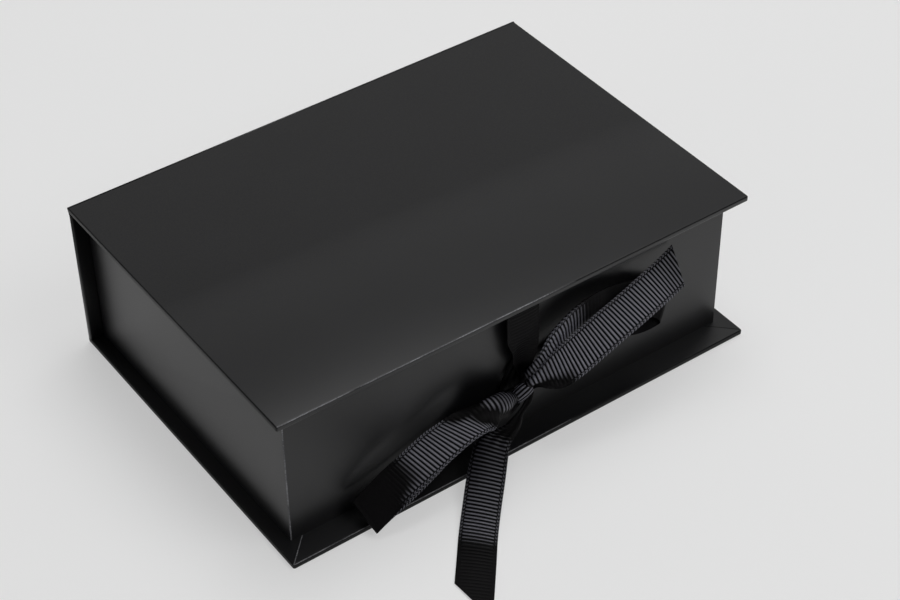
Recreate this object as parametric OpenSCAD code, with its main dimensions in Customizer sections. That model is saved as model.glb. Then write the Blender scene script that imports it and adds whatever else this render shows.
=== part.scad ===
// Rigid gift box with a hinged, book-style lid and a ribbon tied in a bow on its long front side.
// Millimetres. Z is up, the front looks towards -Y, and the origin is the middle of the base's underside.

/* [Cover] */
// Width of the cover, left to right
cover_w = 220; // [190:1:265]
// Depth of the base, front edge to the spine's outer face
base_d = 157; // [130:1:190]
// Height of the closed box
box_h = 70; // [58:0.5:90]
// Thickness of the grey board in the cover
board_t = 2; // [1.5:0.1:2.5]
// Thickness of the black wrapping and lining paper
paper_t = 0.2; // [0.15:0.01:0.25]
// Width of the paper turned in over the inner face of a board
turn_in = 15; // [12:0.5:18]
// Radius of the cover's corners, seen from above
corner_r = 1; // [0.5:0.1:1.5]

/* [Lid] */
// Distance that the lid's front edge stands behind the base's front edge
lid_setback = 4; // [3:0.25:5]
// Distance that the paper crease stands behind the spine's outer face
hinge_reach = 1; // [0.8:0.05:1.3]
// Radius of the folded paper along the crease
crease_r = 0.3; // [0.25:0.01:0.35]
// Gap between the lid's wrapping and the crease
crease_gap = 0.3; // [0.2:0.05:0.4]
// Inset of the lid's lining sheet from the edges
liner_inset = 3; // [2:0.25:5]
// Gap between the tray's rim and the lid's lining
lid_gap = 0.3; // [0.25:0.05:0.8]
// Opening angle at which the lid's front edge nearly reaches the table
lid_open_deg = 206; // [180:1:206]

/* [Tray] */
// Distance from the tray's side walls to the cover's side edges
side_margin = 6; // [4:0.25:9]
// Distance from the tray's front wall to the base's front edge
front_ledge = 11; // [10:0.25:14]
// Thickness of the tray's boards
tray_board_t = 2; // [1.5:0.1:2.5]
// Length of each leg of the paper tapes on the tray's corners
stay_leg = 12; // [8:0.5:16]
// Thickness of those tapes
stay_t = 0.15; // [0.1:0.01:0.2]
// Distance from the tray's rim down to the upper edge of its wall lining
liner_drop = 3; // [2:0.25:5]

/* [Ribbon] */
// Width of the ribbon
ribbon_w = 15; // [12:0.5:18]
// Thickness of the ribbon
ribbon_t = 0.5; // [0.4:0.02:0.6]
// Length of ribbon glued under the lid and inside the tray
anchor_len = 21; // [16:1:30]
// Play round the ribbon in its slot and recesses
ribbon_play = 0.4; // [0.3:0.05:0.6]
// Height of the slot in the tray's front wall
slot_z = 54; // [48:0.5:55]
// Distance that the lid's ribbon hangs behind the lid's front edge
strap_setback = 2.3; // [2:0.1:3]
// Place of the tray's ribbon, to the right of the middle
slot_x = 0.6; // [-2:0.1:2]
// Place of the knot, to the right of the middle
knot_x = -0.7; // [-5:0.1:5]
// Height of the knot's middle above the table
knot_z = 27.8; // [26:0.1:30]
// Distance from the tray's front wall to the knot's middle
knot_out = 6.7; // [6.2:0.1:8]
// Length of the knot along the bow
knot_len = 7.8; // [7:0.2:10]
// Largest radius of the knot
knot_r = 3.5; // [3:0.1:4]

/* [Hidden] */
$fn = 48;

// Small amount by which a cut passes through the face that it opens
over = 1;

// Cover: half width, and the front and rear faces of the base
half_w = cover_w / 2;
base_front = -base_d / 2;
base_rear = base_d / 2;
board_half_w = half_w - paper_t;

// Levels of the base, from the table up
base_board_z = paper_t;
base_board_top = base_board_z + board_t;
base_top = base_board_top + paper_t;

// Lid: levels from the top down, and its front and rear
lid_board_top = box_h - paper_t;
lid_board_z = lid_board_top - board_t;
lid_turn_z = lid_board_z - paper_t;
lid_under = lid_turn_z - paper_t;
lid_front = base_front + lid_setback;
crease_y = base_rear + hinge_reach - crease_r;
crease_z = box_h - crease_r;
lid_wrap_rear = crease_y - crease_r - crease_gap;
lid_liner_rear = base_rear - 0.6;
lid_board_rear = lid_liner_rear - paper_t;

// Spine: it stands on the base board and ends a little under the lid
spine_in = base_rear - paper_t - board_t;
spine_face = spine_in - paper_t;
spine_top = lid_under - lid_gap - paper_t;

// Tray: outer box of its wrapping, then of its boards, then its inner faces
tray_half_w = half_w - side_margin;
tray_front = base_front + front_ledge;
tray_rear = spine_face;
tray_rim = lid_under - lid_gap;
tray_board_half_w = tray_half_w - paper_t;
tray_board_front = tray_front + paper_t;
tray_board_rear = tray_rear - paper_t;
tray_board_z = base_top + paper_t;
tray_board_top = tray_rim - paper_t;
tray_floor_top = tray_board_z + tray_board_t;
wall_in_x = tray_board_half_w - tray_board_t;
wall_in_front = tray_board_front + tray_board_t;
wall_in_rear = tray_board_rear - tray_board_t;
tray_turn_z = tray_board_top - turn_in;

// Ribbon: the knot's middle, and the room between the knot and the lid
knot_y = tray_front - knot_out;
knot_at = [knot_x, knot_y, knot_z];
knot_tilt = 22;
strap_y = lid_front + strap_setback;
bow_rise = 36;
rise_share = min(1, (lid_under - knot_z - 1) / bow_rise);
slot_h = ribbon_t + 2 * ribbon_play;
slot_w = ribbon_w + 2 * ribbon_play;

// Place in the bow, from the knot's middle, its height kept under the lid
function bow(x, y, z) = knot_at + [x, y, z > 0 ? z * rise_share : z];

// Place on the table in front of the base
function table(x, y, z) = [x, base_front - y, z];

// One station of a ribbon: its middle, the direction across it, its width and the depth of its pleats
function at(p, across, width, pleat = 0) = concat(p, across / norm(across), [width, pleat]);

left_loop_route = [
    at(bow(-4.4, -0.9, -0.6), [0.62, -0.65, -0.44], 6, 1.2),
    at(bow(-10, -2.6, 0.2), [0.55, -0.68, -0.48], 8.4, 1.8),
    at(bow(-17, -3.4, 0.6), [0.55, -0.72, -0.42], 11, 1.5),
    at(bow(-25, -3.8, 0.6), [0.60, -0.74, -0.31], 13, 0.8),
    at(bow(-34, -4.0, 0), [0.60, -0.75, -0.28], 14.6, 0.2),
    at(bow(-44, -4.4, -2.3), [0.42, -0.79, -0.45], 15),
    at(bow(-53.5, -4.8, -6.3), [0.38, -0.79, -0.48], 15),
    at(bow(-64, -4.9, -11), [0.32, -0.79, -0.52], 15),
    at(bow(-72, -4.7, -16), [0.25, -0.78, -0.57], 15),
    at(bow(-76.6, -4.2, -19.4), [0.20, -0.78, -0.60], 15),
    at(bow(-76.2, -3.1, -21.2), [0.20, -0.78, -0.60], 15),
    at(bow(-70, -1.9, -19.8), [0.22, -0.78, -0.58], 15),
    at(bow(-55, -0.4, -15.4), [0.25, -0.76, -0.60], 15),
    at(bow(-36, 0.8, -9.6), [0.28, -0.74, -0.61], 13.5, 0.4),
    at(bow(-18, 1.4, -5.4), [0.32, -0.74, -0.59], 9, 1),
    at(bow(-5, 1.2, -2.4), [0.40, -0.72, -0.56], 5, 1)
];

right_loop_route = [
    at(bow(3.8, 1.2, 3.4), [0.10, -0.66, -0.74], 4.5, 0.8),
    at(bow(9.4, 1.7, 9.8), [-0.02, -0.44, -0.90], 6.2, 1),
    at(bow(14.3, 2.1, 13.2), [-0.03, -0.32, -0.94], 9.6, 1),
    at(bow(19.3, 1.9, 15.5), [-0.04, -0.36, -0.93], 12.5, 0.8),
    at(bow(29.9, 1.7, 16.8), [-0.06, -0.40, -0.91], 14.5, 0.2),
    at(bow(44.5, 1.4, 17.5), [-0.12, -0.45, -0.88], 15),
    at(bow(57, 1.3, 14.6), [-0.20, -0.48, -0.85], 15),
    at(bow(67, 0.8, 9.8), [-0.45, -0.42, -0.79], 15),
    at(bow(70.6, 0.2, 7), [-0.62, -0.38, -0.69], 15),
    at(bow(69.8, 1.0, 4.4), [-0.62, -0.38, -0.69], 15),
    at(bow(59, 1.6, 4.8), [-0.40, -0.48, -0.78], 15),
    at(bow(42, 2.3, 8), [-0.14, -0.48, -0.87], 13.5, 0.4),
    at(bow(22, 2.9, 7), [-0.05, -0.46, -0.89], 9, 1),
    at(bow(5, 2.5, 1.6), [0.10, -0.60, -0.79], 4.5, 0.8)
];

upper_tail_route = [
    at(bow(3.4, -2.2, 2.6), [0.10, -0.70, -0.70], 6, 0.8),
    at(bow(7.8, -4.4, 4), [0.02, -0.70, -0.70], 9, 1.2),
    at(bow(12.6, -5.4, 5.6), [-0.02, -0.72, -0.69], 12, 1),
    at(bow(19.8, -5.7, 8.2), [0.06, -0.75, -0.66], 13.6, 0.5),
    at(bow(27.8, -5.3, 11.5), [0.15, -0.77, -0.62], 14.4, 0.1),
    at(bow(38.8, -5.3, 15.9), [0.27, -0.79, -0.55], 15),
    at(bow(48.6, -4.9, 19), [0.32, -0.79, -0.52], 15),
    at(bow(59.4, -3.9, 22), [0.27, -0.79, -0.55], 15),
    at(bow(69, -2.4, 24), [0.20, -0.78, -0.60], 15),
    at(bow(74.6, -1.4, 25.4), [0.15, -0.77, -0.62], 15)
];

lower_tail_route = [
    at(bow(-1.2, -3.4, -4), [0.81, -0.58, -0.05], 3.4, 0.6),
    at(bow(-4.8, -4.4, -7.2), [0.81, -0.58, -0.05], 3.4, 0.6),
    at(bow(-9.6, -5.6, -10.6), [0.80, -0.60, -0.06], 5, 1),
    at(table(-18, 1.4, 14.6), [0.60, -0.80, -0.06], 11, 1.2),
    at(table(-22, 3.4, 12), [0.58, -0.81, -0.05], 13.4, 0.5),
    at(table(-28.4, 9.2, 7.5), [0.62, -0.79, -0.02], 14.8, 0.1),
    at(table(-37.1, 18, 2.8), [0.63, -0.78, 0], 15),
    at(table(-45.8, 27.6, 0.6), [0.66, -0.75, 0], 15),
    at(table(-54, 37.6, 0.4), [0.70, -0.71, 0], 15),
    at(table(-65.5, 51.6, 0.4), [0.74, -0.67, 0], 15)
];

// ---------- Shapes that repeat ----------

// Flat rectangle between two corners, its four corners rounded
module rounded_sheet(x0, x1, y0, y1, r) {
    translate([x0 + r, y0]) square([x1 - x0 - 2 * r, y1 - y0]);
    translate([x0, y0 + r]) square([x1 - x0, y1 - y0 - 2 * r]);
    for (x = [x0 + r, x1 - r], y = [y0 + r, y1 - r]) translate([x, y]) circle(r);
}

// Block between two corners
module block(low, high) {
    translate(low) cube(high - low);
}

// Upright frame: a rectangle of walls, one paper thick or more, between two heights
module frame_of_walls(x, y0, y1, wall, z0, z1, r) {
    translate([0, 0, z0]) linear_extrude(z1 - z0) difference() {
        rounded_sheet(-x, x, y0, y1, r);
        translate([-x + wall, y0 + wall]) square([2 * (x - wall), y1 - y0 - 2 * wall]);
    }
}

// Side view drawn in the YZ plane, spread evenly to the left and right of x
module side_profile(x, width, points) {
    translate([x - width / 2, 0, 0]) rotate([90, 0, 90]) linear_extrude(width) polygon(points);
}

// Front view drawn in the XZ plane, made deep enough to pass through everything from y0 to y1
module front_profile(y0, y1, points) {
    translate([0, y1, 0]) rotate([90, 0, 0]) linear_extrude(y1 - y0) polygon(points);
}

// ---------- Ribbon swept along its stations ----------

function middle(s) = [s[0], s[1], s[2]];
function across(s) = [s[3], s[4], s[5]] / norm([s[3], s[4], s[5]]);
function unit(v) = v / norm(v);

// Station i of a route, carried on in a straight line past both ends
function station(route, i) =
    i < 0 ? 2 * route[0] - route[1] :
    i >= len(route) ? 2 * route[len(route) - 1] - route[len(route) - 2] : route[i];

// Smooth curve through the four stations, from the second to the third
function between(a, b, c, d, t) =
    (2 * b + (c - a) * t + (2 * a - 5 * b + 4 * c - d) * t * t + (3 * b - a - 3 * c + d) * t * t * t) / 2;

function smooth(route, steps) = [
    for (i = [0 : len(route) - 2]) for (k = [0 : steps - 1])
        between(station(route, i - 1), route[i], route[i + 1], station(route, i + 2), k / steps),
    route[len(route) - 1]
];

// Strip of ribbon: each station carries a row of points whose pleats fade as the ribbon widens.
// slant is how much further one selvage runs than the other at the cut end.
module ribbon_strip(route, steps = 4, columns = 8, slant = 0) {
    rows = smooth(route, steps);
    last = len(rows) - 1;
    slant_rows = 2 * steps;
    pleat_turns = 540;
    side = columns + 1;
    ring = 2 * side;
    points = [
        for (i = [0 : last])
            let (
                along = unit(middle(rows[min(i + 1, last)]) - middle(rows[max(i - 1, 0)])),
                a = across(rows[i]),
                up = unit(cross(along, a)),
                reach = slant * max(0, i - last + slant_rows) / slant_rows
            )
            for (face = [1, -1]) for (j = [0 : columns])
                let (u = j / columns - 0.5)
                middle(rows[i]) + a * rows[i][6] * u + along * reach * u
                    + up * (rows[i][7] * cos(pleat_turns * u) + face * ribbon_t / 2)
    ];
    faces = concat(
        [for (i = [0 : last - 1], j = [0 : columns - 1]) let (p = i * ring + j)
            each [[p, p + ring, p + 1], [p + 1, p + ring, p + ring + 1]]],
        [for (i = [0 : last - 1], j = [0 : columns - 1]) let (p = i * ring + side + j)
            each [[p, p + 1, p + ring], [p + 1, p + ring + 1, p + ring]]],
        [for (i = [0 : last - 1]) let (p = i * ring, q = p + side)
            each [[p, q, p + ring], [q, q + ring, p + ring]]],
        [for (i = [0 : last - 1]) let (p = i * ring + columns, q = p + side)
            each [[p, p + ring, q], [q, p + ring, q + ring]]],
        [for (j = [0 : columns - 1]) each [[j, j + 1, j + side], [j + 1, j + 1 + side, j + side]]],
        [for (j = [0 : columns - 1]) let (p = last * ring + j)
            each [[p, p + side, p + 1], [p + 1, p + side, p + 1 + side]]]
    );
    polyhedron(points, faces, convexity = 8);
}

// Barrel round the knot, along the line of the two loops
module knot_form(grow = 0) {
    belly_r = 2.2 * knot_len;
    translate(knot_at) rotate([0, 90 - knot_tilt, 0]) rotate_extrude() intersection() {
        translate([knot_r + grow - belly_r, 0]) circle(belly_r, $fn = 128);
        translate([0, -knot_len / 2 - grow]) square([knot_r + grow, knot_len + 2 * grow]);
    }
}

// ---------- Cover ----------

module base_board() {
    color("#8d8a84") translate([0, 0, base_board_z]) linear_extrude(board_t)
        rounded_sheet(-board_half_w, board_half_w, base_front + paper_t, base_rear - paper_t,
                      corner_r - paper_t);
}

module spine_board() {
    color("#8d8a84") block([-board_half_w, spine_in, base_board_top], [board_half_w, base_rear - paper_t, spine_top]);
}

// Paper under the base board, up its front and side edges and turned in over it
module base_wrap() {
    color("#1b1b1d") difference() {
        linear_extrude(base_top)
            rounded_sheet(-half_w, half_w, base_front, base_rear, corner_r);
        translate([0, 0, base_board_z]) linear_extrude(board_t)
            rounded_sheet(-board_half_w, board_half_w, base_front + paper_t, base_rear - paper_t,
                          corner_r - paper_t);
        block([-board_half_w + turn_in, base_front + paper_t + turn_in, base_board_top - paper_t / 2],
              [board_half_w - turn_in, base_rear + over, base_top + over]);
        block([-board_half_w, spine_in, base_board_top - paper_t / 2],
              [board_half_w, base_rear + over, base_top + over]);
        block([-half_w - over, base_rear - paper_t, base_board_z], [half_w + over, base_rear + over, base_top + over]);
    }
}

// Paper over the outside of the spine, round its two ends and turned in
module spine_wrap() {
    color("#1b1b1d") {
        block([-half_w, base_rear - paper_t, base_board_z], [half_w, base_rear, spine_top]);
        for (s = [-1, 1]) {
            block([min(s * board_half_w, s * half_w), spine_face, base_top],
                  [max(s * board_half_w, s * half_w), base_rear - paper_t, spine_top]);
            block([min(s * (board_half_w - turn_in), s * board_half_w), spine_face, base_top],
                  [max(s * (board_half_w - turn_in), s * board_half_w), spine_in, spine_top]);
        }
    }
}

// Lining inside the spine, between the turn-ins, and over the spine's upper edge
module spine_liner() {
    x = board_half_w - turn_in;
    color("#242427") {
        block([-x, spine_face, base_top], [x, spine_in, spine_top + paper_t]);
        block([-x, spine_face, spine_top], [x, base_rear - 2 * paper_t, spine_top + paper_t]);
    }
}

// Double paper from the spine's upper edge to the crease that the lid turns on
module hinge_strip() {
    reach = crease_r - paper_t / 2;
    color("#1b1b1d") {
        side_profile(0, cover_w, [
            [base_rear - 2 * paper_t, spine_top],
            [base_rear, spine_top],
            [crease_y + reach, crease_z],
            [crease_y - reach, crease_z]
        ]);
        translate([-half_w, crease_y, crease_z]) rotate([0, 90, 0]) cylinder(h = cover_w, r = crease_r);
    }
}

// ---------- Lid ----------

// Shallow bed in the lid board for the glued end of the lid's ribbon, open to the front
module lid_ribbon_bed(depth) {
    bed_rear = lid_front + turn_in;
    block([knot_x - slot_w / 2, strap_y - ribbon_t / 2 - ribbon_play, lid_board_z - over],
          [knot_x + slot_w / 2, bed_rear, lid_board_z + depth]);
}

module lid_board() {
    color("#8d8a84") difference() {
        translate([0, 0, lid_board_z]) linear_extrude(board_t)
            rounded_sheet(-board_half_w, board_half_w, lid_front + paper_t, lid_board_rear,
                          corner_r - paper_t);
        lid_ribbon_bed(ribbon_t - paper_t);
    }
}

// Paper over the lid, round its front and side edges and turned in below
module lid_wrap() {
    color("#1b1b1d") difference() {
        translate([0, 0, lid_turn_z]) linear_extrude(box_h - lid_turn_z)
            rounded_sheet(-half_w, half_w, lid_front, lid_wrap_rear, corner_r);
        translate([0, 0, lid_board_z]) linear_extrude(board_t)
            rounded_sheet(-board_half_w, board_half_w, lid_front + paper_t, lid_wrap_rear + over,
                          corner_r - paper_t);
        block([-board_half_w + turn_in, lid_front + paper_t + turn_in, lid_turn_z - over],
              [board_half_w - turn_in, lid_wrap_rear + over, lid_board_z + paper_t / 2]);
        block([-half_w - over, lid_board_rear, lid_turn_z - over],
              [half_w + over, lid_wrap_rear + over, lid_board_top]);
        lid_ribbon_bed(0);
    }
}

// Lining under the lid, turned up behind the board
module lid_liner() {
    color("#242427") {
        translate([0, 0, lid_under]) linear_extrude(paper_t)
            rounded_sheet(-half_w + liner_inset, half_w - liner_inset, lid_front + liner_inset,
                          lid_liner_rear, 0.1);
        block([-half_w + liner_inset, lid_board_rear, lid_under],
              [half_w - liner_inset, lid_liner_rear, lid_board_top]);
    }
}

// ---------- Tray ----------

// Rebate for the tapes on one corner of the boards, s and t give its side and end
module stay_legs(s, t, deep) {
    x = s * tray_board_half_w;
    y = t > 0 ? tray_board_rear : tray_board_front;
    block([min(x, x - s * stay_leg), min(y, y - t * deep), tray_board_z],
          [max(x, x - s * stay_leg), max(y, y - t * deep), tray_board_top]);
    block([min(x, x - s * deep), min(y, y - t * stay_leg), tray_board_z],
          [max(x, x - s * deep), max(y, y - t * stay_leg), tray_board_top]);
}

module all_stays() {
    for (s = [-1, 1], t = [-1, 1]) stay_legs(s, t, stay_t);
}

module corner_stays() {
    color("#cbbf9f") all_stays();
}

module tray_floor_board() {
    color("#8d8a84") difference() {
        block([-tray_board_half_w, tray_board_front, tray_board_z],
              [tray_board_half_w, tray_board_rear, tray_floor_top]);
        all_stays();
    }
}

// Side wall of the tray, s is -1 on the left and 1 on the right
module side_board(s) {
    color("#8d8a84") difference() {
        block([min(s * wall_in_x, s * tray_board_half_w), tray_board_front, tray_floor_top],
              [max(s * wall_in_x, s * tray_board_half_w), tray_board_rear, tray_board_top]);
        all_stays();
    }
}

module tray_left_board() { side_board(-1); }

module tray_right_board() { side_board(1); }

module tray_rear_board() {
    color("#8d8a84") difference() {
        block([-wall_in_x, wall_in_rear, tray_floor_top], [wall_in_x, tray_board_rear, tray_board_top]);
        all_stays();
    }
}

// Slot that the tray's ribbon comes out of, through the wall and its wrapping
module ribbon_slot() {
    block([slot_x - slot_w / 2, tray_front - over, slot_z - slot_h / 2],
          [slot_x + slot_w / 2, wall_in_front + over, slot_z + slot_h / 2]);
}

// Bed for the glued end of the tray's ribbon on the inner face of the front wall
module tray_ribbon_bed() {
    block([slot_x - slot_w / 2, wall_in_front - ribbon_t, slot_z - anchor_len - ribbon_play],
          [slot_x + slot_w / 2, wall_in_front + over, slot_z]);
}

module tray_front_board() {
    color("#8d8a84") difference() {
        block([-wall_in_x, tray_board_front, tray_floor_top], [wall_in_x, wall_in_front, tray_board_top]);
        all_stays();
        ribbon_slot();
        tray_ribbon_bed();
    }
}

// Paper round the outside of the tray, over the rim, down inside and in under the floor
module tray_wrap() {
    color("#1b1b1d") {
        difference() {
            frame_of_walls(tray_half_w, tray_front, tray_rear, paper_t, base_top, tray_rim, corner_r / 2);
            ribbon_slot();
        }
        difference() {
            block([-tray_board_half_w, tray_board_front, base_top], [tray_board_half_w, tray_board_rear, tray_board_z]);
            block([-tray_board_half_w + turn_in, tray_board_front + turn_in, base_top - over],
                  [tray_board_half_w - turn_in, tray_board_rear - turn_in, tray_board_z + over]);
        }
        frame_of_walls(tray_board_half_w, tray_board_front, tray_board_rear, tray_board_t + paper_t,
                       tray_board_top, tray_rim, 0.01);
        frame_of_walls(wall_in_x, wall_in_front, wall_in_rear, paper_t, tray_turn_z, tray_board_top, 0.01);
    }
}

// Lining inside the walls: against the boards, then stepping over the turned-in wrapping
module tray_wall_liner() {
    step = 2 * paper_t;
    color("#242427") {
        frame_of_walls(wall_in_x, wall_in_front, wall_in_rear, paper_t,
                       tray_floor_top + paper_t, tray_turn_z, 0.01);
        frame_of_walls(wall_in_x - paper_t, wall_in_front + paper_t, wall_in_rear - paper_t, paper_t,
                       tray_turn_z - step, tray_rim - liner_drop, 0.01);
    }
}

module tray_floor_liner() {
    color("#242427") block([-wall_in_x, wall_in_front, tray_floor_top],
                           [wall_in_x, wall_in_rear, tray_floor_top + paper_t]);
}

// ---------- Ribbon ----------

// Ribbon from its bed inside the front wall, out through the slot and down behind the knot
module tray_ribbon() {
    t = ribbon_t;
    inner = wall_in_front - t / 2;
    outer = tray_front - t / 2;
    low = knot_z + 3.6;
    waist_z = slot_z - 8;
    waist = 8.4;
    gathered = 5;
    color("#161618") intersection() {
        side_profile(slot_x, ribbon_w, [
            [inner + t / 2, slot_z - anchor_len],
            [inner + t / 2, slot_z + t / 2],
            [outer - t, slot_z + t / 2],
            [outer - t - 0.4, slot_z - t],
            [outer - 1.4 - t, slot_z - 6],
            [outer - 3.6 - t / 2, low],
            [outer - 3.6 + t / 2, low],
            [outer - 1.4, slot_z - 6],
            [outer - t, slot_z - t],
            [outer - t + 0.2, slot_z - t / 2],
            [inner - t / 2, slot_z - t / 2],
            [inner - t / 2, slot_z - anchor_len]
        ]);
        union() {
            block([slot_x - ribbon_w / 2, tray_front, 0], [slot_x + ribbon_w / 2, 0, box_h]);
            front_profile(tray_front - 20, tray_front + over, [
                [slot_x - ribbon_w / 2, slot_z + over],
                [slot_x - ribbon_w / 2, slot_z - 1],
                [slot_x - waist / 2, waist_z],
                [knot_x - gathered / 2, low - over],
                [knot_x + gathered / 2, low - over],
                [slot_x + waist / 2, waist_z],
                [slot_x + ribbon_w / 2, slot_z - 1],
                [slot_x + ribbon_w / 2, slot_z + over]
            ]);
        }
    }
}

// Ribbon from its bed under the lid, forward over the lining's edge and down to the knot
module lid_ribbon() {
    t = ribbon_t;
    bed_rear = lid_front + turn_in;
    bed_top = lid_board_z + t - paper_t;
    low = knot_z + knot_r + 1.2;
    lean = 1.6;
    waist_z = knot_z + 19;
    color("#161618") intersection() {
        side_profile(knot_x, ribbon_w, [
            [bed_rear, bed_top],
            [strap_y + 0.3, bed_top],
            [strap_y - t / 2, bed_top - 0.4],
            [strap_y - t / 2, lid_under],
            [strap_y - t / 2 - lean / 4, waist_z],
            [strap_y - t / 2 - lean, low],
            [strap_y + t / 2 - lean, low],
            [strap_y + t / 2 - lean / 4, waist_z],
            [strap_y + t / 2, lid_under],
            [strap_y + t / 2, bed_top - t],
            [bed_rear, bed_top - t]
        ]);
        front_profile(lid_front - 10, bed_rear + over, [
            [knot_x - ribbon_w / 2, box_h],
            [knot_x - ribbon_w / 2, waist_z + 7],
            [knot_x - ribbon_w / 2 + 1.4, waist_z],
            [knot_x - 4.4, knot_z + 11],
            [knot_x - 2, low - over],
            [knot_x + 2, low - over],
            [knot_x + 4.4, knot_z + 11],
            [knot_x + ribbon_w / 2 - 0.9, waist_z],
            [knot_x + ribbon_w / 2, waist_z + 7],
            [knot_x + ribbon_w / 2, box_h]
        ]);
    }
}

module bow_knot() {
    color("#161618") knot_form();
}

// Part of the bow, cut back to the face of the knot
module tied(route, slant = 0) {
    color("#161618") difference() {
        ribbon_strip(route, slant = slant);
        knot_form(0.05);
    }
}

module bow_left_loop() { tied(left_loop_route); }

module bow_right_loop() { tied(right_loop_route); }

module bow_upper_tail() { tied(upper_tail_route, slant = -6); }

module bow_lower_tail() { tied(lower_tail_route, slant = 16); }

base_board();
spine_board();
base_wrap();
spine_wrap();
spine_liner();
hinge_strip();
lid_board();
lid_wrap();
lid_liner();
tray_floor_board();
tray_front_board();
tray_rear_board();
tray_left_board();
tray_right_board();
corner_stays();
tray_wrap();
tray_wall_liner();
tray_floor_liner();
tray_ribbon();
lid_ribbon();
bow_knot();
bow_left_loop();
bow_right_loop();
bow_upper_tail();
bow_lower_tail();
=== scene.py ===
# Rigid gift box in matt black paper, closed with a grosgrain ribbon tied in a bow.
# Lengths are written in millimetres and turned to metres by MM.
import math

import bpy
import numpy as np
from mathutils import Matrix, Vector


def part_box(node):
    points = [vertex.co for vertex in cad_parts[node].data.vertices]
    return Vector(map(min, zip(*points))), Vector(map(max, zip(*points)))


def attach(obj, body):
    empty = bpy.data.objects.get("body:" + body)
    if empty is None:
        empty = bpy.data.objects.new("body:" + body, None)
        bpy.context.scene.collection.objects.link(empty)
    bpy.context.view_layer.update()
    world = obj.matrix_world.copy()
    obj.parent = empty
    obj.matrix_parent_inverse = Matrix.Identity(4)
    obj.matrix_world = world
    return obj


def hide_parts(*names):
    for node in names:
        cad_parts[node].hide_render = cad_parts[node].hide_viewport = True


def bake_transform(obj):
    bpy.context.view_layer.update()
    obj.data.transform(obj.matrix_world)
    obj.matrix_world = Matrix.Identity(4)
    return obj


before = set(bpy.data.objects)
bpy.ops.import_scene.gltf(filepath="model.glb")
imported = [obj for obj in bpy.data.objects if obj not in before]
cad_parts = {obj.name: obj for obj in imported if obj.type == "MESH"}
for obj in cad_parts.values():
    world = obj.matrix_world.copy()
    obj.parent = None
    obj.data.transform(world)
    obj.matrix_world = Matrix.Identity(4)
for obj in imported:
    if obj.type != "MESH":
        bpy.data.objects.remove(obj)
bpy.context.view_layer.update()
bpy.ops.object.select_all(action="DESELECT")

MM = 0.001
scene = bpy.context.scene


# ---------- Measures, read from the frame in millimetres ----------

def node_box(node):
    low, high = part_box(node)
    return np.array(low) / MM, np.array(high) / MM


BASE_LOW, BASE_HIGH = node_box("base_wrap")
SPINE_LOW, SPINE_HIGH = node_box("spine_wrap")
LID_LOW, LID_HIGH = node_box("lid_wrap")
TRAY_LOW, TRAY_HIGH = node_box("tray_wrap")
KNOT = sum(node_box("bow_knot")) / 2

PAPER = 0.2
TURN_IN = 15  # margin of paper glued down behind an edge
EDGE_ROUND = 0.6
COVER_CORNER = 1.0
TRAY_CORNER = 0.6
RIM_ROUND = 0.3
RIM = 2.4  # a tray wall with paper on both faces
SEAM = 0.3  # between two margins that meet at a corner
# The cut in the tray's paper is shorter at its left end than the slot in the board, so no grey board shows
SLOT_LEFT, SLOT_RIGHT = -2.2, 8.6
SLOT_Z, SLOT_H = 54, 1.3
RIBBON_W = 15
RIBBON_T = 0.5
SIGHT = np.array([0.708, 1, -1.064])  # along the camera's line of sight, for a millimetre towards the tray
CAMERA_PLACE = (-372.78, -551.65, 598.25)
CAMERA_RIGHT = (0.81096, -0.58501, -0.01010)
CAMERA_DOWN = (-0.38977, -0.52728, -0.75502)
CAMERA_LENS = 86.461


# ---------- Camera ----------

def make_camera():
    """Camera above the left front corner, with its own roll of half a degree."""
    data = bpy.data.cameras.new("camera")
    camera = bpy.data.objects.new("camera", data)
    scene.collection.objects.link(camera)
    right, down = Vector(CAMERA_RIGHT), Vector(CAMERA_DOWN)
    forward = right.cross(down).normalized()
    turn = Matrix((right, -down, -forward)).transposed()
    camera.matrix_world = Matrix.Translation(Vector(CAMERA_PLACE) * MM) @ turn.to_4x4()
    data.sensor_width = 36
    data.lens = CAMERA_LENS
    data.clip_start = 0.05
    data.clip_end = 20
    scene.camera = camera


make_camera()


# ---------- Materials ----------

def colour(hex_value):
    """sRGB hex to the linear colour that a shader takes."""
    parts = [int(hex_value[i:i + 2], 16) / 255 for i in (1, 3, 5)]
    return [*[p / 12.92 if p <= 0.04045 else ((p + 0.055) / 1.055) ** 2.4 for p in parts], 1]


def add(tree, kind, settings=None, **links):
    """Adds a node, sets its properties, sockets and colour stops, and links its inputs from other nodes'
    sockets. An input is named, with _ for each space, or numbered after an i."""
    node = tree.nodes.new(kind)
    for key, value in (settings or {}).items():
        if key == "stops":
            for stop, (place, hex_value) in zip(node.color_ramp.elements, value):
                stop.position = place
                stop.color = colour(hex_value)
        elif isinstance(key, int) or key in node.inputs:
            node.inputs[key].default_value = value
        else:
            setattr(node, key, value)
    for name, source in links.items():
        socket = int(name[1:]) if name[0] == "i" and name[1:].isdigit() else name.replace("_", " ")
        tree.links.new(source, node.inputs[socket])
    return node


def new_material(name, settings):
    material = bpy.data.materials.new(name)
    material.use_nodes = True
    tree = material.node_tree
    shader = tree.nodes["Principled BSDF"]
    for key, value in settings.items():
        shader.inputs[key].default_value = value
    return material, tree, shader


def per_mm(size):
    """Texture scale at which one feature is about this many millimetres across."""
    return 1 / (size * MM)


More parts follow.
